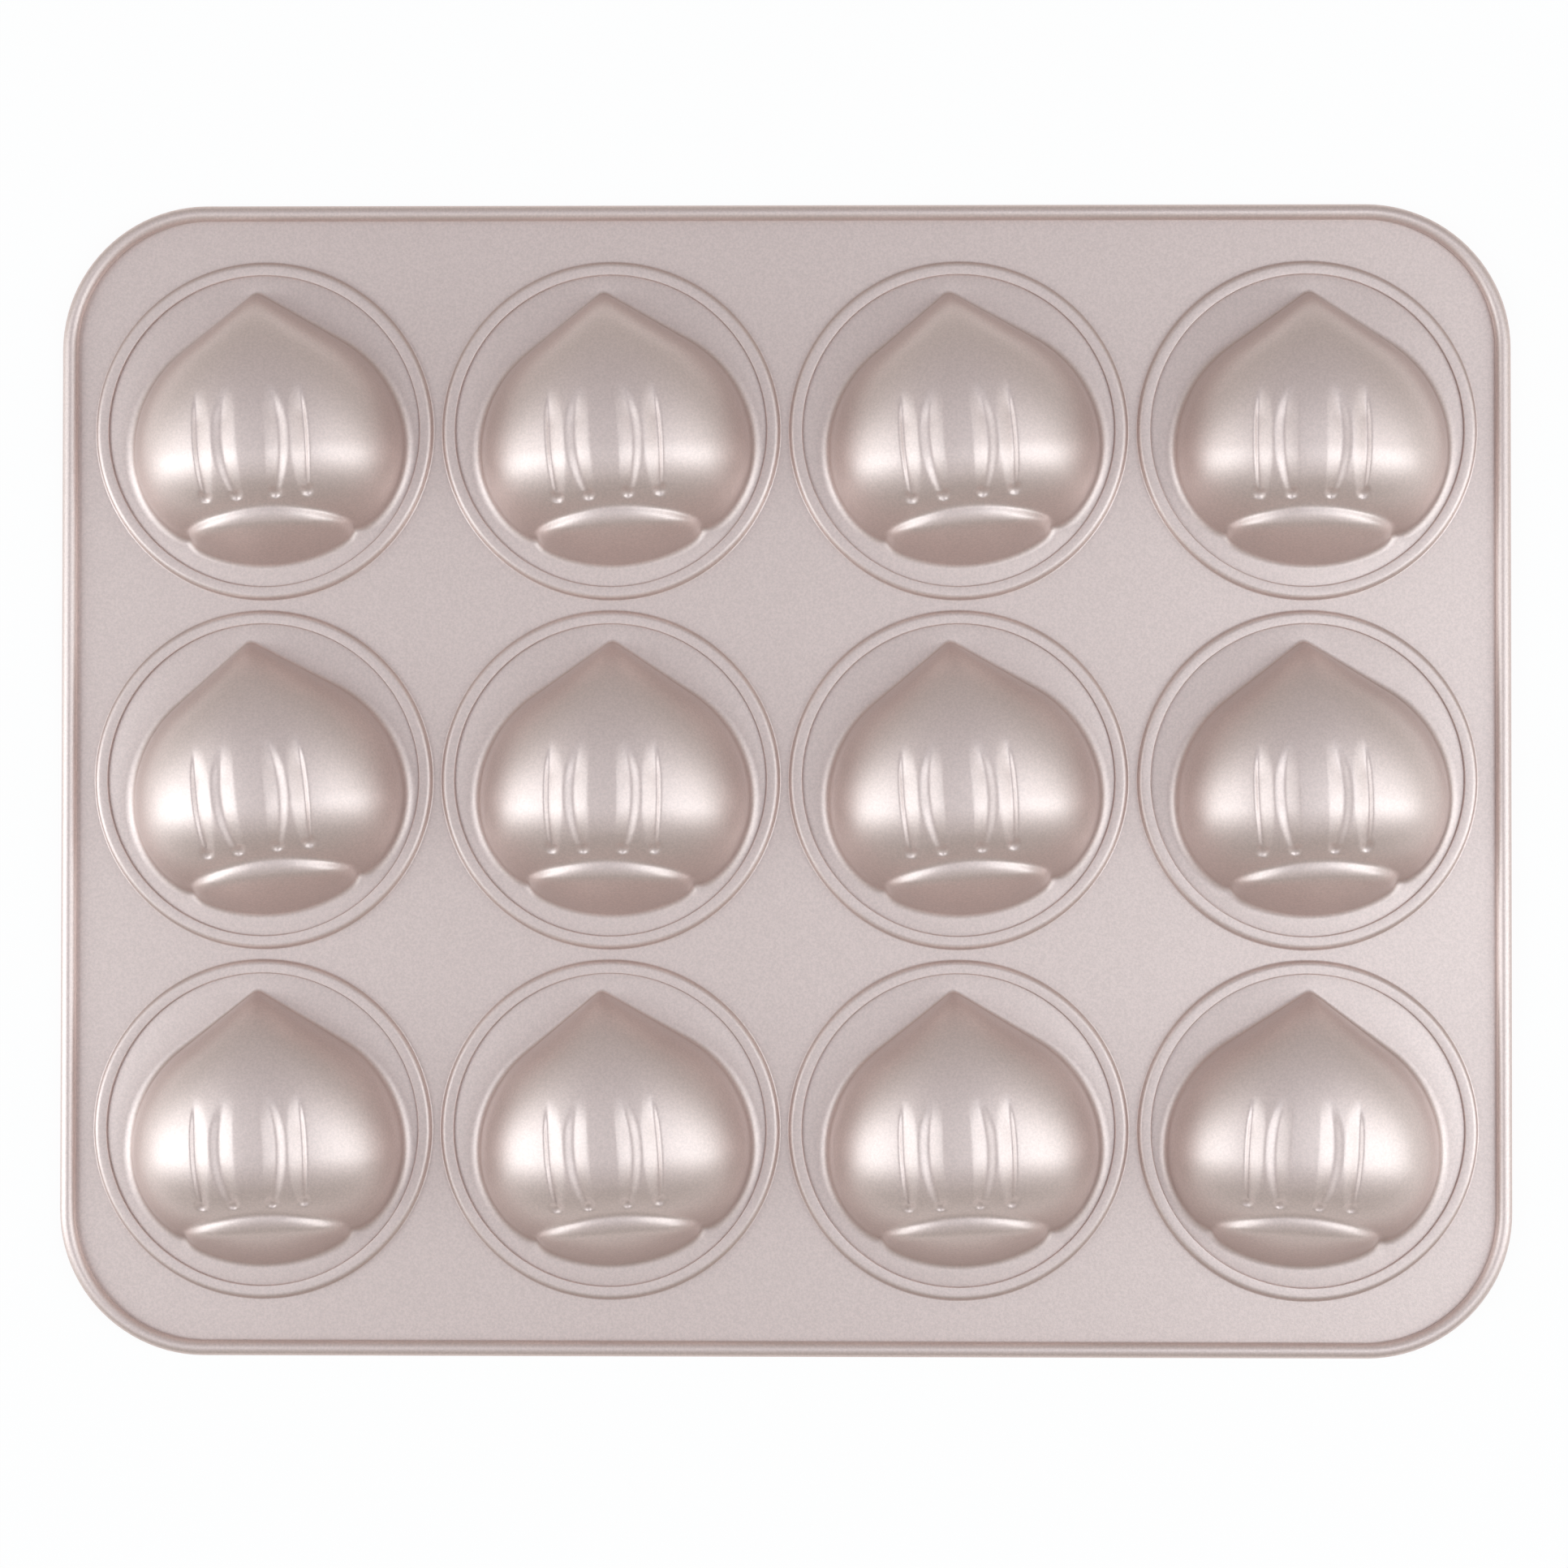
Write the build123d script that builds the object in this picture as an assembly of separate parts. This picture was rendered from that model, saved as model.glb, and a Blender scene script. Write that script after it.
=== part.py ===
from build123d import *
import math
import os

# Twelve-cup baking pan for half-chestnut cakes, lying face down as it does on a table:
# the baking face is z = 0, the cups rise towards +Z, the long side runs along X.
# One carrier sheet holds twelve separately drawn cups in hemmed holes and a wire in its rolled rim.
# All lengths are in millimetres.

# Carrier sheet: its thickness, its corners and the deck left outside the outer hems and between neighbours
frame_sheet = 0.8
corner_radius = 35.0
end_margin = 8.75
side_margin = 14.35
column_web = 3.5
row_web = 3.9

# Rolled rim
wire_diameter = 2.0
wire_gap = 0.05

# Grid of cups
columns = 4
rows = 3

# Hem of the carrier sheet round each cup, folded over the cup's collar
hem_radius = 40.25
hem_height = 3.1
crown_bend = 0.6
crimp_gap = 0.1

# Cup blank: flat disc with an upturned collar
cup_sheet = 0.8
collar_bend = 0.5

# Half chestnut, seen along -Z with its tip towards +Y
chestnut_height = 25.5
belly_offset = -5.0
belly_half_width = 33.5
belly_lean = 0.7
shoulder_radius = 31.2
cheek_radius = 25.0
tip_reach = 38.6
base_reach = 21.6
tip_fullness = 2.2
base_fullness = 1.7
side_fullness = 2.3
chestnut_shift = 0.4
# Where its cross-sections are drawn, as shares of the way from the belly to the base (-1) and to the tip (1)
section_shares = (-0.95, -0.75, -0.45, -0.15, 0.1, 0.35, 0.65, 0.88, 0.97)

# Scar of the chestnut: the broad base end that stands out below the belly
scar_half_width = 20.75
scar_height = 15.8
scar_centre = 2.0
scar_foot_radius = 35.4
scar_waist_radius = 32.2
scar_waist_height = 8.0
scar_crown_radius = 24.3

# Four grooves over the belly: each a crease bowed away from the middle, with its broad flank towards it.
# Depths are given from the tip end to the base end; each row holds a pair's offset at its ends and at its bow.
groove_rise = 1.8
groove_flank = 3.6
groove_lip = 0.8
groove_top = 8.0
groove_bottom = -16.4
groove_depths = (-0.05, 0.7, 0.9, 0.9, 0.45)
groove_rows = ((4.7, 6.6), (12.3, 13.6))

# How each crimped cup sits in its hole: turn in degrees, seen along -Z, by row from +Y and column from -X
cup_turns = (
    (4.0, 4.0, 5.0, 0.0),
    (6.5, 0.0, 4.5, 2.5),
    (3.0, 4.5, 3.0, -3.5),
)
# The cup that was trimmed off its middle, as (row, column), and by how much
stray_cup = (3, 4)
stray_slip = -2.0

# Sizes that follow
column_pitch = 2 * hem_radius + column_web
row_pitch = 2 * hem_radius + row_web
pan_length = (columns - 1) * column_pitch + 2 * (hem_radius + end_margin)
pan_width = (rows - 1) * row_pitch + 2 * (hem_radius + side_margin)
roll_inner = wire_diameter / 2 + wire_gap
roll_outer = roll_inner + frame_sheet
hem_width = 2 * frame_sheet + 2 * crimp_gap + cup_sheet
collar_radius = hem_radius - frame_sheet - crimp_gap
collar_top = hem_height - frame_sheet - crimp_gap


def roll_path():
    """Middle line of the rolled rim, at the height of the wire."""
    length = pan_length - 2 * roll_outer
    width = pan_width - 2 * roll_outer
    loop = RectangleRounded(length, width, corner_radius - roll_outer)
    return (Pos(0, 0, roll_outer) * loop).wire()


def cup_place(row, column):
    """Centre of a cup, rows counted from +Y and columns from -X."""
    x = (column - (columns + 1) / 2) * column_pitch
    y = ((rows + 1) / 2 - row) * row_pitch
    return Pos(x, y, 0)


def rolled_rim():
    """Edge of the carrier sheet, rolled up and round until its cut edge meets the deck."""
    path = roll_path()
    outward = (path % 0).cross(Vector(0, 0, 1))
    start = Plane(origin=path @ 0, x_dir=outward, z_dir=path % 0)
    closing = math.degrees(math.asin((roll_outer - frame_sheet - wire_gap) / roll_outer))
    outside = CenterArc((0, 0), roll_outer, 90, -270 - closing)
    inside = CenterArc((0, 0), roll_inner, 90, -270 - closing)
    section = make_face([outside, Line(outside @ 1, inside @ 1), inside, Line(inside @ 0, outside @ 0)])
    return sweep(start * section, path)


def hem_section():
    """Half section of the hem: up from the deck, over the crown and down inside the cup's collar."""
    lip = hem_radius - hem_width
    outside = Polyline(
        (hem_radius, 0),
        (hem_radius, hem_height - crown_bend),
        (hem_radius - crown_bend, hem_height),
        (lip + crown_bend, hem_height),
        (lip, hem_height - crown_bend),
        (lip, cup_sheet + crimp_gap),
    )
    inside = Polyline(
        (lip + frame_sheet, cup_sheet + crimp_gap),
        (lip + frame_sheet, hem_height - frame_sheet),
        (hem_radius - frame_sheet, hem_height - frame_sheet),
        (hem_radius - frame_sheet, 0),
    )
    return make_face([*outside.edges(), Line(outside @ 1, inside @ 0), *inside.edges(), Line(inside @ 1, outside @ 0)])


def frame():
    """Carrier sheet: deck with hemmed holes and rolled rim."""
    deck_length = pan_length - 2 * roll_outer
    deck_width = pan_width - 2 * roll_outer
    deck = extrude(RectangleRounded(deck_length, deck_width, corner_radius - roll_outer), frame_sheet)
    places = [cup_place(row, column) for row in range(1, rows + 1) for column in range(1, columns + 1)]
    hole = extrude(Circle(hem_radius - frame_sheet / 2), frame_sheet)
    hem = revolve(Plane.XZ * hem_section(), Axis.Z)
    deck -= [place * hole for place in places]
    return deck + [place * hem for place in places] + rolled_rim()


def rim_wire():
    """Round steel wire inside the rolled rim, bent to one closed loop."""
    path = roll_path()
    start = Plane(origin=path @ 0, z_dir=path % 0)
    return sweep(start * Circle(wire_diameter / 2), path)


def tip_angle(half_width):
    """Angle between the chestnut's axis and the straight edge that runs to its tip."""
    reach = math.hypot(half_width - shoulder_radius, tip_reach)
    return math.asin(shoulder_radius / reach) + math.atan2(half_width - shoulder_radius, tip_reach)


def outline(along, half_width, inset):
    """Half width of the chestnut's foot at a distance along its axis from the belly, cut back by inset."""
    if along < 0:
        return half_width - cheek_radius + math.sqrt((cheek_radius - inset) ** 2 - along**2)
    angle = tip_angle(half_width)
    radius = shoulder_radius - inset
    if along > radius * math.sin(angle):
        return (tip_reach - inset / math.sin(angle) - along) * math.tan(angle)
    return half_width - shoulder_radius + math.sqrt(radius**2 - along**2)


def reach(end, inset):
    """Length of the chestnut from its belly to its tip (end = 1) or to its base (end = -1)."""
    if end > 0:
        return tip_reach - inset / math.sin(tip_angle(belly_half_width))
    return base_reach - inset


def ridge_height(along, inset):
    """Height of the chestnut over its axis at a distance along it from the belly."""
    end, fullness = (1, tip_fullness) if along > 0 else (-1, base_fullness)
    share = abs(along) / reach(end, inset)
    return (chestnut_height - inset) * (1 - share**fullness) ** (1 / fullness)


def body_section(along, inset):
    """Cross-section of the chestnut's body, full at the sides like a superellipse."""
    height = ridge_height(along, inset)
    right = outline(along, belly_half_width + belly_lean, inset)
    left = outline(along, belly_half_width - belly_lean, inset)
    pull = (8 * 0.5 ** (1 / side_fullness) - 4) / 3
    rise = Bezier((right, 0), (right, pull * height), (pull * right, height), (0, height))
    fall = Bezier((0, height), (-pull * left, height), (-left, pull * height), (-left, 0))
    plane = Plane(origin=(0, along, 0), x_dir=(1, 0, 0), z_dir=(0, -1, 0))
    return plane * make_face([rise, fall, Line(fall @ 1, rise @ 0)])


def body(inset):
    """Rounded body of the chestnut, lofted along its axis from its base to its tip."""
    sections = [body_section(share * reach(share, inset), inset) for share in section_shares]
    return Pos(chestnut_shift, belly_offset, 0) * loft(sections)


def scar(inset):
    """Scar end: an elliptical boss along the axis, ended by a bowed face that leans back as it rises."""
    depth = scar_foot_radius
    side = Plane(origin=(0, belly_offset - base_reach / 2, 0), x_dir=(1, 0, 0), z_dir=(0, -1, 0))
    boss = extrude(side * Ellipse(scar_half_width - inset, scar_height - inset), depth)
    foot = (scar_foot_radius - inset, 0)
    waist = (scar_waist_radius - inset, scar_waist_height)
    crown = (scar_crown_radius - inset, scar_height)
    face_line = [ThreePointArc(foot, waist, crown), Line(crown, (0, scar_height)), Line((0, scar_height), (0, 0))]
    face_line.append(Line((0, 0), foot))
    bowl = Pos(0, scar_centre, 0) * revolve(Plane.XZ * make_face(face_line), Axis.Z)
    return Pos(chestnut_shift, 0, 0) * (boss & bowl)


def surface(x, y):
    """Height of the chestnut's body over the baking face at a point of the cup, its scar left out."""
    along = y - belly_offset
    lean = math.copysign(belly_lean, x - chestnut_shift)
    share = abs(x - chestnut_shift) / outline(along, belly_half_width + lean, 0)
    return ridge_height(along, 0) * (1 - share**side_fullness) ** (1 / side_fullness)


def groove_cutter(end_offset, bow_offset, side, grow):
    """Wedge swept along one crease over the belly, with its faces moved out by grow."""
    middle = (groove_top + groove_bottom) / 2
    crease = []
    for number, depth in enumerate(groove_depths):
        share = 1 - 2 * number / (len(groove_depths) - 1)
        x = side * (bow_offset + (end_offset - bow_offset) * share**2)
        y = middle + (groove_top - middle) * share
        crease.append((x, y, surface(x, y) - depth))
    path = Spline(crease)
    x, y, _ = crease[len(crease) // 2]
    tilt = (surface(x + groove_lip, y) - surface(x - groove_lip, y)) / (2 * groove_lip)
    start = Plane(origin=path @ 0, x_dir=(1, 0, tilt), z_dir=path % 0)
    wedge = Polygon((0, 0), (-side * groove_flank, groove_rise), (side * groove_lip, groove_rise), align=None)
    if grow:
        wedge = offset(wedge, grow, kind=Kind.INTERSECTION)
    return sweep(start * wedge, path)


def chestnut(inset):
    """Solid chestnut, cut back by inset on every side, with its grooves."""
    solid = body(inset) + scar(inset)
    for end_offset, bow_offset in groove_rows:
        for side in (-1, 1):
            solid -= groove_cutter(end_offset, bow_offset, side, inset)
    return solid


def disc():
    """Flat disc of the cup with the collar that the hem grips."""
    outer = collar_radius
    inner = collar_radius - cup_sheet
    corners = [(0, 0), (outer - collar_bend, 0), (outer, collar_bend), (outer, collar_top)]
    corners += [(inner, collar_top), (inner, cup_sheet), (0, cup_sheet)]
    return revolve(Plane.XZ * Polygon(*corners, align=None), Axis.Z)


def cup(slip):
    """Cup drawn from one sheet: disc, chestnut raised out of it and the hollow under it."""
    shift = Pos(slip, 0, 0)
    return disc() + shift * chestnut(0) - shift * chestnut(cup_sheet)


os.makedirs("parts", exist_ok=True)
export_step(frame(), "parts/frame.step")
export_step(rim_wire(), "parts/rim_wire.step")
centred_cup = cup(0)
stray = cup(stray_slip)
for row, turns in enumerate(cup_turns, start=1):
    for column, turn in enumerate(turns, start=1):
        pressed = stray if (row, column) == stray_cup else centred_cup
        placed = cup_place(row, column) * Rot(0, 0, turn) * pressed
        export_step(placed, f"parts/cup_r{row}_c{column}.step")
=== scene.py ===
import math

import bmesh
import bpy
from mathutils import Matrix, Vector


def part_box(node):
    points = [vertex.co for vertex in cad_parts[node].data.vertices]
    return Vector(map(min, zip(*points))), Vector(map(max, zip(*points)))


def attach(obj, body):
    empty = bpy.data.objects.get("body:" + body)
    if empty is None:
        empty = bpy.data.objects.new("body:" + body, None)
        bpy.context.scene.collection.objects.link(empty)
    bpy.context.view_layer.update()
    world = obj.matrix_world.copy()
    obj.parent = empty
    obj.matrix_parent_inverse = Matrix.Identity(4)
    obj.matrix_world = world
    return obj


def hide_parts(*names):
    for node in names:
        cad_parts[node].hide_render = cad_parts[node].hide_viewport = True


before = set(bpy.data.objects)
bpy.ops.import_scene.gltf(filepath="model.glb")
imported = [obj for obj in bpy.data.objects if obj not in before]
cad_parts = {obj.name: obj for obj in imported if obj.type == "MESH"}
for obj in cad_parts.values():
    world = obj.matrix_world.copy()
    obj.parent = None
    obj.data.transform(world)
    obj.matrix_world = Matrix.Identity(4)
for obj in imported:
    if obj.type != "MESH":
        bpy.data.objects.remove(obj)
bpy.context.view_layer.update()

# Lengths are in millimetres until a finished mesh is scaled to metres
METRE = 1000.0

# Overall sizes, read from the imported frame
frame_low, frame_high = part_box("frame")
pan_length = round((frame_high.x - frame_low.x) * METRE, 1)
pan_width = round((frame_high.y - frame_low.y) * METRE, 1)
rim_height = round((frame_high.z - frame_low.z) * METRE, 1)
corner_radius = 35.0

# Sheets and crimp: the disc stands prouder than in the solids, and the hem folds down on its flange
sheet = 0.8
crimp_gap = 0.1
hem_radius = 40.25
hem_height = 2.85
hem_flare = 0.5
valley_radius = 0.45
crown_reach = 1.15
crown_fall = 1.0
lip_radius = 0.3
lip_gap = 0.04
disc_rise = 1.2
hem_width = 3 * sheet + 2 * crimp_gap
roll_radius = rim_height / 2
flange_radius = hem_radius + hem_flare - sheet - crimp_gap

# Half chestnut, close to the solids: its plan, its heights and the roundings at its tip and foot
chestnut_height = 25.5
chestnut_shift = 0.4
belly_offset = -5.0
belly_half_width = 32.7
belly_lean = 0.7
shoulder_radius = 30.4
cheek_radius = 24.2
tip_reach = 38.6
tip_round = 2.0
smallest_tip_round = 0.5
base_reach = 20.1
tip_fullness = 2.2
base_fullness = 2.2
side_fullness = 2.3
foot_round = 2.7
foot_tight = 1.1

# Scar at the base end of the chestnut: its foot and ridge are arcs,
# and the body slopes down to a fold above it
scar_half_width = 20.9
scar_height = 18.4
scar_fullness = 2.3
scar_centre = 2.0
scar_foot_radius = 35.4
scar_corner = -23.5
scar_taper = 0.6
ridge_middle = -22.6
ridge_radius = 61.8
ridge_inset = 0.5
ridge_strip = 1.7
scar_lean = 0.5
scar_edge = 1.8
scar_fold = 0.9
shoulder_height = 18.3
shoulder_slope = 1.15
shoulder_round = 4.0

# Four grooves in two pairs: each pair's offset at its ends and at its bow, its depth and its lip,
# then the flank towards the middle, how hollow it is, and how the groove narrows to its ends
groove_shift = -0.7
groove_rows = ((4.7, 6.7, 0.8, 2.9), (12.2, 12.8, 0.95, 1.2))
groove_flank = 3.3
groove_hollow = 1.15
groove_taper = 0.85

# Where the grooves end, and the shares of their half length at which they are deep or gone
groove_top = 9.5
groove_bottom = -16.4
groove_upper_fade = (1.0, 0.3)
groove_lower_fade = (-1.08, -0.95)
groove_reach = 1.1

# Dimple that the press left at the lower end of each groove
dimple_radius = 2.0
dimple_depth = 1.05

# How each cup was crimped in: turn in degrees, and the one that slipped sideways
cup_turns = ((4.0, 4.0, 5.0, 0.0), (6.5, 0.0, 4.5, 2.5), (3.0, 4.5, 3.0, -3.5))
stray_cup = (3, 4)
stray_slip = -2.0

# Mesh fineness
cup_segments = 256
dome_rings = 120
hollow_rings = 56
hem_segments = 160
corner_segments = 24
bend_steps = 6
foot_steps = 8

# Search for the chestnut's wall: its nearest and farthest place from the belly, how often the span
# between them is halved, and how little over the disc the wall counts as ended
wall_nearest = 12.0
wall_farthest = 45.0
wall_halvings = 28
foot_touch = 0.02

# Points closer than this are one
merge_distance = 0.001

# Middle of each cup on the deck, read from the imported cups
rows, columns = len(cup_turns), len(cup_turns[0])
cup_centres = {}
for row in range(1, rows + 1):
    for column in range(1, columns + 1):
        low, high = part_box(f"cup_r{row}_c{column}")
        x, y = (round((low[axis] + high[axis]) / 2 * METRE, 1) for axis in (0, 1))
        cup_centres[row, column] = Vector((x, y, 0))


def arc(centre, radius, start, end, steps, rise=None):
    """Points of an arc between two angles in degrees, as tall as its radius unless given a rise."""
    points = []
    for step in range(steps + 1):
        angle = math.radians(start + (end - start) * step / steps)
        across = centre[0] + radius * math.cos(angle)
        up = centre[1] + (rise or radius) * math.sin(angle)
        points.append((across, up))
    return points


def soft_max(one, other, width):
    """The larger of two heights, with a rounded change-over of that width."""
    blend = max(width - abs(one - other), 0) / width
    return max(one, other) + blend * blend * width / 4


def soft_min(one, other, width):
    """The smaller of two heights, with a rounded change-over of that width."""
    return -soft_max(-one, -other, width)


def smooth_step(low, high, value):
    """Eased rise from 0 at low to 1 at high."""
    share = min(max((value - low) / (high - low), 0), 1)
    return share * share * (3 - 2 * share)


def turn_of(vert):
    """Angle of a vertex round the Z axis."""
    return math.atan2(vert.co.y, vert.co.x)


def extruded(bm, edges):
    """New edges and vertices of an extruded row of edges."""
    made = bmesh.ops.extrude_edge_only(bm, edges=edges)["geom"]
    fresh_edges = [item for item in made if isinstance(item, bmesh.types.BMEdge)]
    fresh_verts = [item for item in made if isinstance(item, bmesh.types.BMVert)]
    return fresh_edges, fresh_verts


# The chestnut's shape


def tip_angle(half_width):
    """Angle between the chestnut's axis and the straight edge that runs to its tip."""
    reach = math.hypot(half_width - shoulder_radius, tip_reach)
    return math.asin(shoulder_radius / reach) + math.atan2(half_width - shoulder_radius, tip_reach)


def tip_rounding(inset):
    """Radius of the tip, tighter on the inside of the sheet."""
    return max(tip_round - inset, smallest_tip_round)


def tip_end(half_width, inset):
    """Where the rounded tip ends, as a distance along the axis from the belly."""
    radius = tip_rounding(inset)
    return tip_reach - (radius + inset) / math.sin(tip_angle(half_width)) + radius


def outline(along, half_width, inset):
    """Half width of the chestnut at its foot, at a distance along its axis from the belly."""
    if along < 0:
        room = (cheek_radius - inset) ** 2 - along**2
        return half_width - cheek_radius + math.sqrt(room) if room > 0 else 0
    angle = tip_angle(half_width)
    shoulder = shoulder_radius - inset
    if along < shoulder * math.sin(angle):
        return half_width - shoulder_radius + math.sqrt(shoulder**2 - along**2)
    radius = tip_rounding(inset)
    centre = tip_end(half_width, inset) - radius
    if along < centre + radius * math.sin(angle):
        return (tip_reach - inset / math.sin(angle) - along) * math.tan(angle)
    room = radius**2 - (along - centre) ** 2
    return math.sqrt(room) if room > 0 else 0


def body_height(x, y, inset):
    """Height of the chestnut's rounded body over the baking face."""
    along = y - belly_offset
    half_width = belly_half_width + math.copysign(belly_lean, x - chestnut_shift)
    room = outline(along, half_width, inset)
    reach, fullness = base_reach - inset, base_fullness
    if along > 0:
        reach, fullness = tip_end(half_width, inset), tip_fullness
    share_along = abs(along) / reach
    if room <= 0 or share_along >= 1:
        return 0
    share_across = abs(x - chestnut_shift) / room
    if share_across >= 1:
        return 0
    ridge = (1 - share_along**fullness) ** (1 / fullness)
    side = (1 - share_across**side_fullness) ** (1 / side_fullness)
    return (chestnut_height - inset) * ridge * side


def ridge_line(x):
    """Where the scar's ridge runs, as a distance from the middle of the cup towards the tip."""
    return ridge_middle - ridge_radius + math.sqrt(ridge_radius**2 - (x - chestnut_shift) ** 2)


def base_shoulder(x, y, inset):
    """Slope in which the body comes down to the fold above the scar."""
    fold = ridge_line(x) + ridge_strip
    return shoulder_height - inset + shoulder_slope * (y - fold)


def scar_top(x, y, inset):
    """Height of the scar end: a narrow ledge up to its ridge, and the leaning face below it."""
    half_width = scar_half_width - inset - scar_taper * max(scar_corner - y, 0)
    across = abs(x - chestnut_shift) / half_width
    if across >= 1 or y > belly_offset:
        return 0
    crest = (scar_height - inset) * (1 - across**scar_fullness) ** (1 / scar_fullness)
    ridge = ridge_line(x) + ridge_inset * inset
    foot = scar_centre - math.sqrt((scar_foot_radius - inset) ** 2 - (x - chestnut_shift) ** 2)
    down = (ridge - y) / (ridge - foot)
    if down >= 1:
        return 0
    face = crest * (1 - scar_lean * down - (1 - scar_lean) * max(down, 0) ** 2)
    return max(soft_min(crest, face, scar_edge), 0)


def groove_cut(x, y):
    """Depth of the four pressed grooves: each a crease with a broad flank towards the middle."""
    middle = (groove_top + groove_bottom) / 2
    half = (groove_top - groove_bottom) / 2
    share = (y - middle) / half
    if abs(share) > groove_reach:
        return 0
    fade = smooth_step(*groove_upper_fade, share) * smooth_step(*groove_lower_fade, share)
    swell = math.sqrt(max(1 - (share * groove_taper) ** 2, 0))
    flank = groove_flank * swell
    cut = 0
    for end_offset, bow_offset, depth, full_lip in groove_rows:
        lip = full_lip * swell
        crease = bow_offset + (end_offset - bow_offset) * share**2
        outward = abs(x - groove_shift) - crease
        if -flank < outward <= 0:
            cut = max(cut, depth * fade * (1 + outward / flank) ** groove_hollow)
        elif 0 < outward < lip:
            cut = max(cut, depth * fade * (1 - smooth_step(0, lip, outward)))
        away = math.hypot(abs(x - groove_shift) - end_offset, y - groove_bottom)
        if away < dimple_radius:
            cut = max(cut, dimple_depth * (1 - (away / dimple_radius) ** 2) ** 2)
    return cut


def chestnut_at(x, y, inset):
    """Height of the pressed chestnut over the baking face."""
    body = body_height(x, y, inset)
    if y < belly_offset and body > 0:
        body = max(soft_min(body, base_shoulder(x, y, inset), shoulder_round), 0)
    scar = scar_top(x, y, inset)
    whole = soft_max(body, scar, scar_fold) if min(body, scar) > 0 else max(body, scar)
    return whole - groove_cut(x, y)


def radius_at_height(angle, level, inset):
    """Distance from the belly at which the chestnut's wall has sunk to a level."""
    low, high = wall_nearest, wall_farthest
    for _ in range(wall_halvings):
        radius = (low + high) / 2
        x = chestnut_shift + radius * math.cos(angle)
        y = belly_offset + radius * math.sin(angle)
        if chestnut_at(x, y, inset) > level:
            low = radius
        else:
            high = radius
    return low


def radius_to_circle(angle, circle, slip):
    """Distance from the belly to a circle round the middle of the cup's disc."""
    belly = Vector((chestnut_shift + slip, belly_offset))
    along = belly.x * math.cos(angle) + belly.y * math.sin(angle)
    return -along + math.sqrt(along**2 - belly.length_squared + circle**2)


def wall_rings(angles, inset, face, count):
    """Rings of radius and height down the chestnut and out over the rounding at its foot."""
    sideways = [math.cos(angle) ** 2 for angle in angles]
    spreads = [inset + foot_tight + (foot_round - foot_tight) * share for share in sideways]
    levels = [face + spread for spread in spreads]
    starts = [radius_at_height(angle, level, inset) for angle, level in zip(angles, levels)]
    corners = [radius_at_height(angle, face + foot_touch, inset) for angle in angles]
    rings = []
    for number in range(1, count + 1):
        share = math.sin(math.pi / 2 * number / count)
        ring = []
        for angle, start in zip(angles, starts):
            radius = start * share
            x = chestnut_shift + radius * math.cos(angle)
            y = belly_offset + radius * math.sin(angle)
            ring.append((radius, chestnut_at(x, y, inset)))
        rings.append(ring)
    for number in range(1, foot_steps + 1):
        share = number / foot_steps
        rest = 1 - share
        ring = []
        for start, corner, spread in zip(starts, corners, spreads):
            radius = rest**2 * start + 2 * rest * share * corner + share**2 * (corner + spread)
            ring.append((radius, face + rest**2 * spread))
        rings.append(ring)
    return rings


def disc_rings(angles, slip):
    """Rings over the flat disc and round the edge of its flange, which the hem grips."""
    bend = (flange_radius - sheet / 2, disc_rise + sheet / 2)
    points = [(bend[0], disc_rise + sheet)] + arc(bend, sheet / 2, 60, -90, bend_steps)
    rings = []
    for circle, height in points:
        rings.append([(radius_to_circle(angle, circle, slip), height) for angle in angles])
    return rings


def pressed_cup(slip):
    """One cup: a fan on top of the dome, then rings extruded over its flange into its hollow."""
    bm = bmesh.new()
    bmesh.ops.create_circle(bm, cap_ends=True, cap_tris=True, segments=cup_segments, radius=1)
    centre = min(bm.verts, key=lambda vert: vert.co.length)
    centre.co.z = chestnut_at(chestnut_shift, belly_offset, 0)
    edges = [edge for edge in bm.edges if edge.is_boundary]
    ring = sorted({v for e in edges for v in e.verts}, key=turn_of)
    angles = [turn_of(vert) for vert in ring]
    rings = wall_rings(angles, 0, disc_rise + sheet, dome_rings)
    rings += disc_rings(angles, slip)
    rings += reversed(wall_rings(angles, sheet, disc_rise, hollow_rings))
    for number, places in enumerate(rings):
        if number:
            edges, fresh = extruded(bm, edges)
            ring = sorted(fresh, key=turn_of)
        for vert, angle, (radius, height) in zip(ring, angles, places):
            vert.co = (radius * math.cos(angle), radius * math.sin(angle), height)
    edges, last = extruded(bm, edges)
    roof = (0, 0, chestnut_at(chestnut_shift, belly_offset, sheet))
    bmesh.ops.pointmerge(bm, verts=last, merge_co=roof)
    bmesh.ops.translate(bm, verts=bm.verts, vec=(chestnut_shift + slip, belly_offset, 0))
    bmesh.ops.recalc_face_normals(bm, faces=bm.faces)
    return bm


# The carrier sheet


def hem_section():
    """Section of the hem: out of the deck, over the crown, down to the lip and back inside."""
    outside = hem_radius + hem_flare
    valley = (outside + valley_radius, sheet + valley_radius)
    crown = (outside - crown_reach, hem_height - crown_fall)
    lip, foot = hem_radius - hem_width, disc_rise + sheet + lip_gap
    points = arc(valley, valley_radius, 270, 180, bend_steps)
    points += arc(crown, crown_reach, 0, 90, 2 * bend_steps, crown_fall)
    points += arc((lip + lip_radius, hem_height - lip_radius), lip_radius, 90, 180, bend_steps)
    points += [(lip, foot), (crown[0] + (crown_reach - sheet) / 2, foot)]
    points += arc(crown, crown_reach - sheet, 45, 0, 2, crown_fall - sheet)
    points += arc(valley, valley_radius + sheet, 180, 270, bend_steps)
    return points


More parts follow.
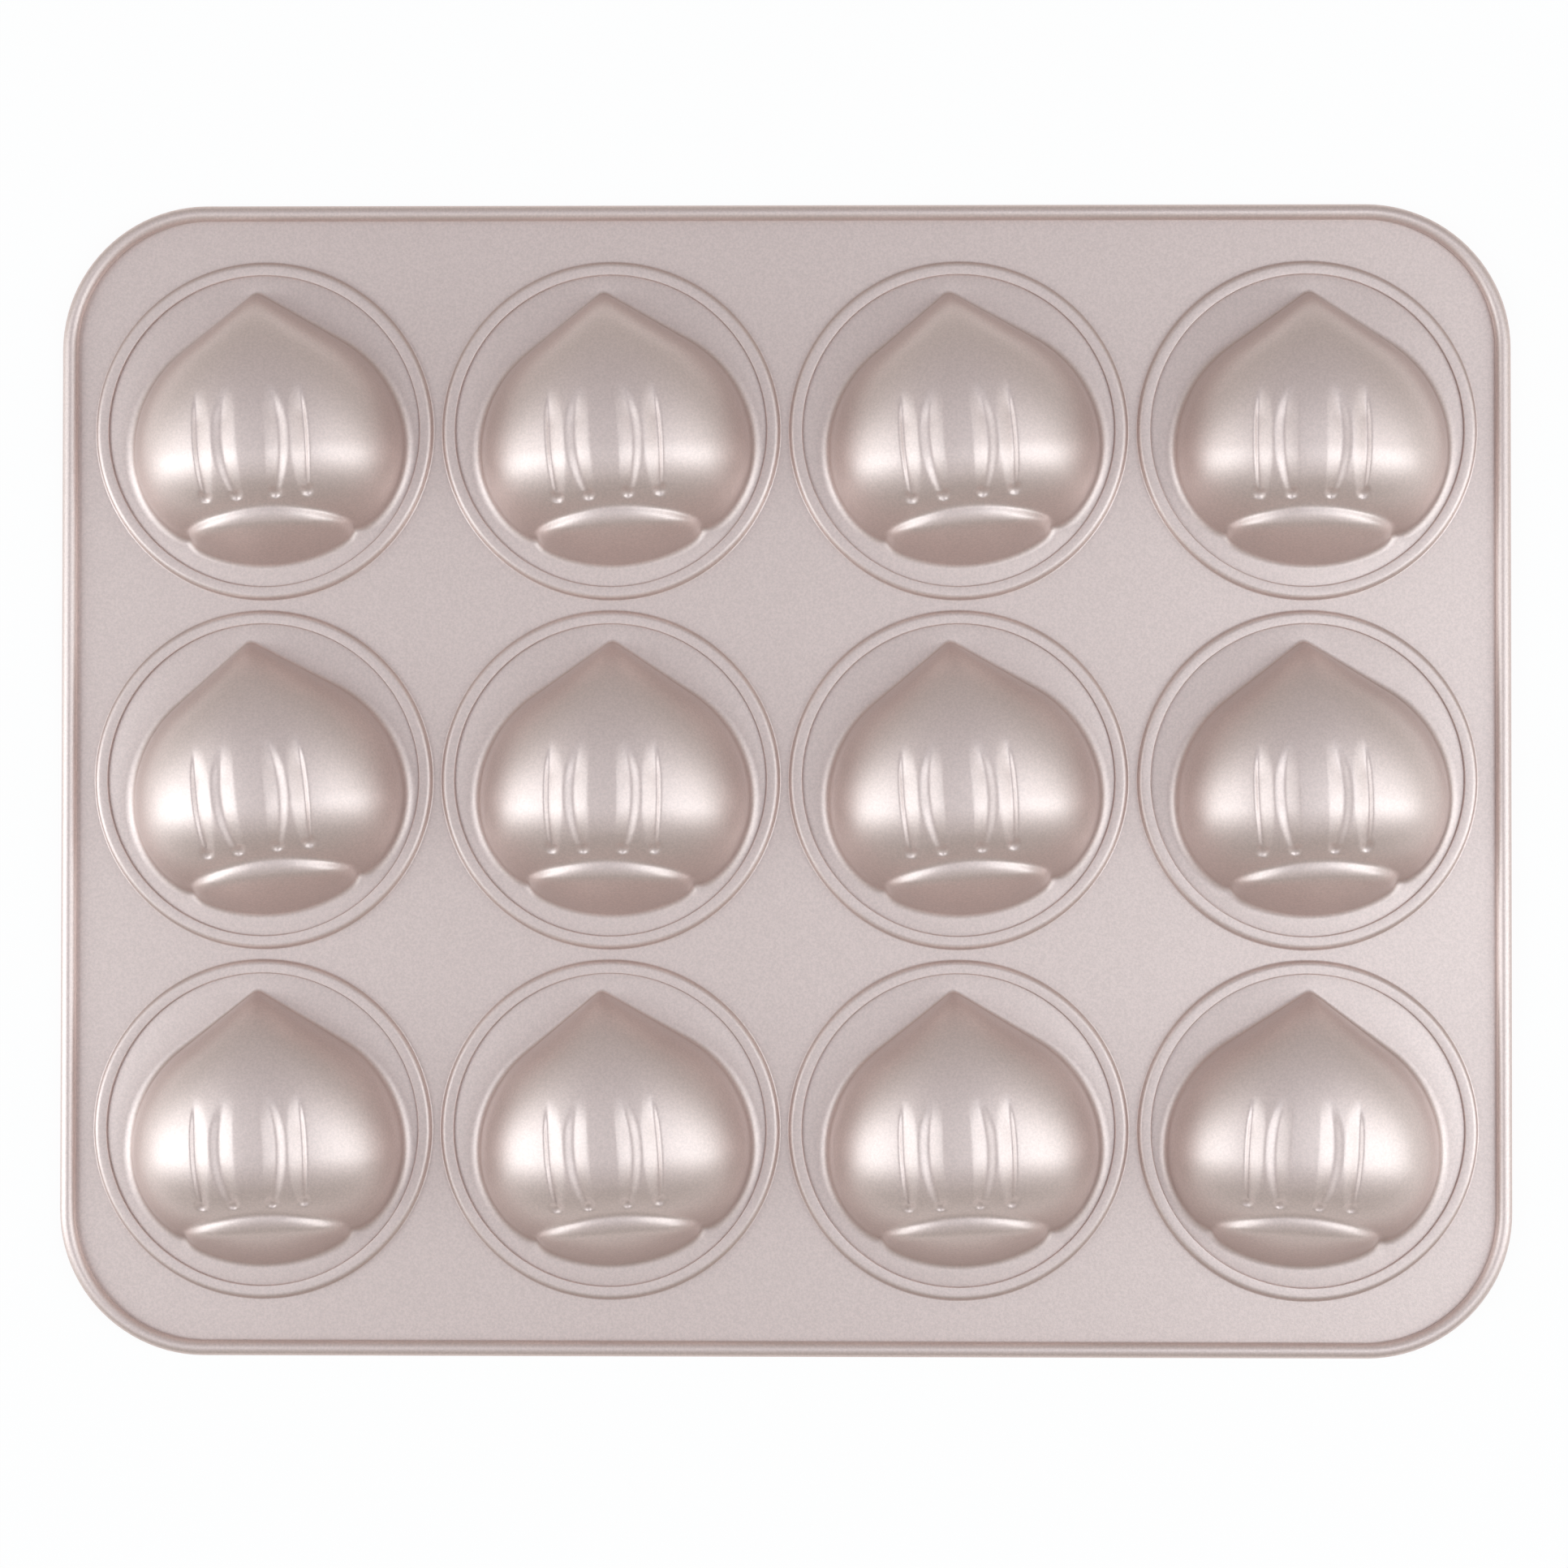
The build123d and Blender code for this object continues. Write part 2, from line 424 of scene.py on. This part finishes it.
def roll_section():
    """Section of the rolled rim: out under the wire, over it and down until it meets the deck."""
    closing = math.degrees(math.asin((roll_radius - sheet - crimp_gap / 2) / roll_radius))
    points = arc((0, roll_radius), roll_radius, -90, 180 + closing, 5 * bend_steps)
    points += arc((0, roll_radius), roll_radius - sheet, 180 + closing, -90, 3 * bend_steps)
    return points


def drawn(bm, points):
    """Edges through a row of points."""
    verts = [bm.verts.new(point) for point in points]
    return [bm.edges.new(pair) for pair in zip(verts, verts[1:])]


def rolled_rim(bm):
    """The rolled rim, its section pushed along each side and spun round each corner."""
    half_length = pan_length / 2 - corner_radius
    half_width = pan_width / 2 - corner_radius
    middle = pan_width / 2 - roll_radius
    edges = drawn(bm, [(-half_length, -middle - out, height) for out, height in roll_section()])
    runs = [Vector((2 * half_length, 0, 0)), Vector((0, 2 * half_width, 0))]
    corners = [Vector((half_length, -half_width, 0)), Vector((half_length, half_width, 0))]
    for run, corner in zip(runs + [-r for r in runs], corners + [-c for c in corners]):
        edges, fresh = extruded(bm, edges)
        bmesh.ops.translate(bm, verts=fresh, vec=run)
        spun = bmesh.ops.spin(
            bm,
            geom=edges + fresh,
            cent=corner,
            axis=(0, 0, 1),
            angle=math.pi / 2,
            steps=corner_segments,
        )
        edges = [item for item in spun["geom_last"] if isinstance(item, bmesh.types.BMEdge)]


def hem():
    """Mesh of one hem, its section spun round the middle of a hole."""
    bm = bmesh.new()
    edges = drawn(bm, [(radius, 0, height) for radius, height in hem_section()])
    section = edges + list(bm.verts)
    bmesh.ops.spin(
        bm,
        geom=section,
        axis=(0, 0, 1),
        angle=2 * math.pi,
        steps=hem_segments,
        use_merge=True,
    )
    mesh = bpy.data.meshes.new("hem")
    bm.to_mesh(mesh)
    bm.free()
    return mesh


def carrier_sheet():
    """Deck, hems round the twelve holes and rolled rim, all one sheet."""
    bm = bmesh.new()
    rolled_rim(bm)
    ring = hem()
    for centre in cup_centres.values():
        moved = ring.copy()
        moved.transform(Matrix.Translation(centre))
        bm.from_mesh(moved)
        bpy.data.meshes.remove(moved)
    bpy.data.meshes.remove(ring)
    bmesh.ops.remove_doubles(bm, verts=bm.verts, dist=merge_distance)
    for level in (0, sheet):
        border = []
        for edge in bm.edges:
            away = max(abs(vert.co.z - level) for vert in edge.verts)
            if edge.is_boundary and away < merge_distance:
                border.append(edge)
                edge.smooth = False
        bmesh.ops.triangle_fill(bm, edges=border)
    bmesh.ops.recalc_face_normals(bm, faces=bm.faces)
    return bm


def finished(name, bm, node):
    """Mesh object in metres that stands for a CAD node."""
    mesh = bpy.data.meshes.new(name)
    bmesh.ops.scale(bm, verts=bm.verts, vec=(1 / METRE, 1 / METRE, 1 / METRE))
    for face in bm.faces:
        face.smooth = True
    bm.to_mesh(mesh)
    bm.free()
    piece = bpy.data.objects.new(name, mesh)
    bpy.context.scene.collection.objects.link(piece)
    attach(piece, "root")
    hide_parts(node)
    return piece


# Materials, with the sizes of their patterns in millimetres
spray_grain = 0.6
coat_cloud = 50.0
draw_line = 0.5


def linear(hex_colour):
    """Linear colour of an sRGB hex value."""
    channels = [int(hex_colour[place : place + 2], 16) / 255 for place in (1, 3, 5)]
    return [c / 12.92 if c <= 0.04045 else ((c + 0.055) / 1.055) ** 2.4 for c in channels] + [1]


def node(tree, kind, settings=None, links=None):
    """Adds a node, sets its properties by name and its sockets by name or place, and links it."""
    made = tree.nodes.new(kind)
    for key, value in (settings or {}).items():
        if isinstance(key, str) and hasattr(made, key):
            setattr(made, key, value)
        else:
            made.inputs[key].default_value = value
    for key, source in (links or {}).items():
        tree.links.new(source, made.inputs[key])
    return made


def new_material(name):
    """Empty node material and its tree."""
    material = bpy.data.materials.new(name)
    material.use_nodes = True
    material.node_tree.nodes.clear()
    return material, material.node_tree


def non_stick_coating():
    """Champagne non-stick coating, sprayed on steel and baked: warm, satin and metallic."""
    material, tree = new_material("champagne_non_stick_coating")
    place = node(tree, "ShaderNodeTexCoord").outputs["Object"]
    # Grain of the spray, drawn coarser than its real tenth of a millimetre so that it shows
    grain = node(
        tree,
        "ShaderNodeTexNoise",
        {"Scale": METRE / spray_grain, "Detail": 2.0, "Roughness": 0.7},
        {"Vector": place},
    )
    # Slow drift of colour where the spray lies thicker
    cloud = node(
        tree,
        "ShaderNodeTexNoise",
        {"Scale": METRE / coat_cloud, "Detail": 3.0},
        {"Vector": place},
    )
    tint = node(
        tree,
        "ShaderNodeMix",
        {"data_type": "RGBA", 6: linear("#DCCAC4"), 7: linear("#E0CEC8")},
        {"Factor": cloud.outputs["Fac"]},
    )
    speckle = node(
        tree,
        "ShaderNodeMapRange",
        {"From Min": 0.35, "From Max": 0.65, "To Min": 0.93, "To Max": 1.05},
        {"Value": grain.outputs["Fac"]},
    )
    flecked = node(
        tree,
        "ShaderNodeMix",
        {"data_type": "RGBA", "blend_type": "MULTIPLY", "Factor": 1.0},
        {6: tint.outputs[2], 7: speckle.outputs[0]},
    )
    bump = node(
        tree,
        "ShaderNodeBump",
        {"Strength": 0.25, "Distance": 0.0001},
        {"Height": grain.outputs["Fac"]},
    )
    # Satin metal flakes under a clear, harder top layer
    skin = node(
        tree,
        "ShaderNodeBsdfPrincipled",
        {"Metallic": 0.9, "Roughness": 0.52, "Coat Weight": 0.6, "Coat Roughness": 0.35},
        {"Base Color": flecked.outputs[2], "Normal": bump.outputs["Normal"]},
    )
    node(tree, "ShaderNodeOutputMaterial", None, {"Surface": skin.outputs["BSDF"]})
    return material


def drawn_wire():
    """Drawn steel wire: bright grey, slightly uneven from the die."""
    material, tree = new_material("drawn_steel_wire")
    place = node(tree, "ShaderNodeTexCoord").outputs["Object"]
    lines = node(
        tree,
        "ShaderNodeTexNoise",
        {"Scale": METRE / draw_line, "Detail": 2.0},
        {"Vector": place},
    )
    shade = node(
        tree,
        "ShaderNodeMix",
        {"data_type": "RGBA", 6: linear("#8F8F90"), 7: linear("#B4B4B6")},
        {"Factor": lines.outputs["Fac"]},
    )
    steel = node(
        tree,
        "ShaderNodeBsdfPrincipled",
        {"Metallic": 1.0, "Roughness": 0.35},
        {"Base Color": shade.outputs[2]},
    )
    node(tree, "ShaderNodeOutputMaterial", None, {"Surface": steel.outputs["BSDF"]})
    return material


def studio_floor():
    """Matt white table that looks white and keeps the pan's shadow; seen from below it is clear."""
    material, tree = new_material("white_table")
    rays = node(tree, "ShaderNodeLightPath")
    seen = node(
        tree,
        "ShaderNodeMath",
        {"operation": "MAXIMUM"},
        {0: rays.outputs["Is Camera Ray"], 1: rays.outputs["Is Glossy Ray"]},
    )
    seen = node(
        tree,
        "ShaderNodeMath",
        {"operation": "MAXIMUM"},
        {0: seen.outputs[0], 1: rays.outputs["Is Transmission Ray"]},
    )
    share = node(
        tree,
        "ShaderNodeMath",
        {"operation": "MULTIPLY", 1: floor_white},
        {0: seen.outputs[0]},
    )
    matt = node(tree, "ShaderNodeBsdfDiffuse", {"Color": linear("#F4F4F4")})
    white = node(tree, "ShaderNodeEmission", {"Color": (1, 1, 1, 1), "Strength": 1.0})
    mixed = node(
        tree,
        "ShaderNodeMixShader",
        None,
        {0: share.outputs[0], 1: matt.outputs[0], 2: white.outputs[0]},
    )
    clear = node(tree, "ShaderNodeBsdfTransparent")
    side = node(tree, "ShaderNodeNewGeometry").outputs["Backfacing"]
    open_below = node(
        tree,
        "ShaderNodeMixShader",
        None,
        {0: side, 1: mixed.outputs[0], 2: clear.outputs[0]},
    )
    node(tree, "ShaderNodeOutputMaterial", None, {"Surface": open_below.outputs[0]})
    return material


# The studio

# Table, in metres: how far it reaches, how far under the pan, and its share of plain white
table_reach = 12
table_gap = 0.0002
floor_white = 0.93

# Soft boxes, in metres and watts: name, place and power of each
soft_boxes = (
    ("soft_box_left", (-1.05, -0.12, 0.68), 8.6),
    ("soft_box_right", (0.85, -0.12, 0.9), 8.0),
)
soft_box_width = 0.4
soft_box_depth = 1.5
lamp_white = (0.82, 0.94, 1.0)

# Air round the pan: its upward axis, the heights along it at which its colour turns, its colours
air_axis = (0, 0.1, 1)
air_bottom = -0.2
air_bend = 0.72
air_top = 1.0
air_low = (0.25, 0.25, 0.205, 1)
air_middle = (0.555, 0.535, 0.53, 1)
air_high = (0.365, 0.362, 0.41, 1)

# Camera over the pan: metres, millimetres of lens and sensor, and degrees
camera_height = 1.1
camera_x = 0.021
camera_y = -0.019
camera_lens = 104.48
camera_sensor = 36
camera_pitch = 0.94
camera_roll = 1.10
camera_turn = 0.03


def soft_box(name, place, power):
    """Area lamp that faces the middle of the pan."""
    light = bpy.data.lights.new(name, "AREA")
    light.shape = "RECTANGLE"
    light.size = soft_box_width
    light.size_y = soft_box_depth
    light.energy = power
    light.color = lamp_white
    lamp = bpy.data.objects.new(name, light)
    lamp.location = place
    lamp.rotation_euler = (-Vector(place)).to_track_quat("-Z", "Y").to_euler()
    bpy.context.scene.collection.objects.link(lamp)


def studio_air():
    """Pale surroundings, brightest half way up, that light the pan and show in its gloss."""
    world = bpy.data.worlds.new("studio_air")
    bpy.context.scene.world = world
    world.use_nodes = True
    tree = world.node_tree
    tree.nodes.clear()
    direction = node(tree, "ShaderNodeTexCoord").outputs["Generated"]
    height = node(
        tree,
        "ShaderNodeVectorMath",
        {"operation": "DOT_PRODUCT", 1: air_axis},
        {0: direction},
    )
    rise = node(
        tree,
        "ShaderNodeMapRange",
        {"From Min": air_bottom, "From Max": air_bend},
        {0: height.outputs["Value"]},
    )
    top = node(
        tree,
        "ShaderNodeMapRange",
        {"From Min": air_bend, "From Max": air_top},
        {0: height.outputs["Value"]},
    )
    low_sky = node(
        tree,
        "ShaderNodeMix",
        {"data_type": "RGBA", 6: air_low, 7: air_middle},
        {"Factor": rise.outputs[0]},
    )
    sky = node(
        tree,
        "ShaderNodeMix",
        {"data_type": "RGBA", 7: air_high},
        {"Factor": top.outputs[0], 6: low_sky.outputs[2]},
    )
    air = node(tree, "ShaderNodeBackground", {"Strength": 1.0}, {"Color": sky.outputs[2]})
    node(tree, "ShaderNodeOutputWorld", None, {"Surface": air.outputs[0]})


def studio():
    """Floor, light and camera."""
    bm = bmesh.new()
    table_top = Matrix.Translation((0, 0, -table_gap))
    bmesh.ops.create_grid(bm, x_segments=1, y_segments=1, size=table_reach, matrix=table_top)
    mesh = bpy.data.meshes.new("table")
    bm.to_mesh(mesh)
    bm.free()
    mesh.materials.append(studio_floor())
    table = bpy.data.objects.new("table", mesh)
    bpy.context.scene.collection.objects.link(table)
    for name, place, power in soft_boxes:
        soft_box(name, place, power)
    studio_air()
    lens = bpy.data.cameras.new("camera")
    lens.sensor_width = camera_sensor
    lens.lens = camera_lens
    camera = bpy.data.objects.new("camera", lens)
    turn = Matrix.Rotation(math.radians(camera_pitch), 4, "X")
    turn = turn @ Matrix.Rotation(math.radians(camera_roll), 4, "Y")
    turn = turn @ Matrix.Rotation(math.radians(camera_turn), 4, "Z")
    camera.matrix_world = Matrix.Translation((camera_x, camera_y, camera_height)) @ turn
    bpy.context.scene.collection.objects.link(camera)
    bpy.context.scene.camera = camera
    bpy.context.scene.view_settings.view_transform = "Standard"


# The pan, piece by piece

coating = non_stick_coating()
pan = finished("carrier_sheet", carrier_sheet(), "frame")
pan.data.materials.append(coating)
pressings = {slip: pressed_cup(slip) for slip in (0, stray_slip)}
for (row, column), centre in cup_centres.items():
    cup = pressings[stray_slip if (row, column) == stray_cup else 0].copy()
    turn = math.radians(cup_turns[row - 1][column - 1])
    bmesh.ops.rotate(cup, verts=cup.verts, cent=(0, 0, 0), matrix=Matrix.Rotation(turn, 3, "Z"))
    bmesh.ops.translate(cup, verts=cup.verts, vec=centre)
    piece = finished(f"pressed_cup_r{row}_c{column}", cup, f"cup_r{row}_c{column}")
    piece.data.materials.append(coating)
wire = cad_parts["rim_wire"]
wire.data.materials.clear()
wire.data.materials.append(drawn_wire())
studio()
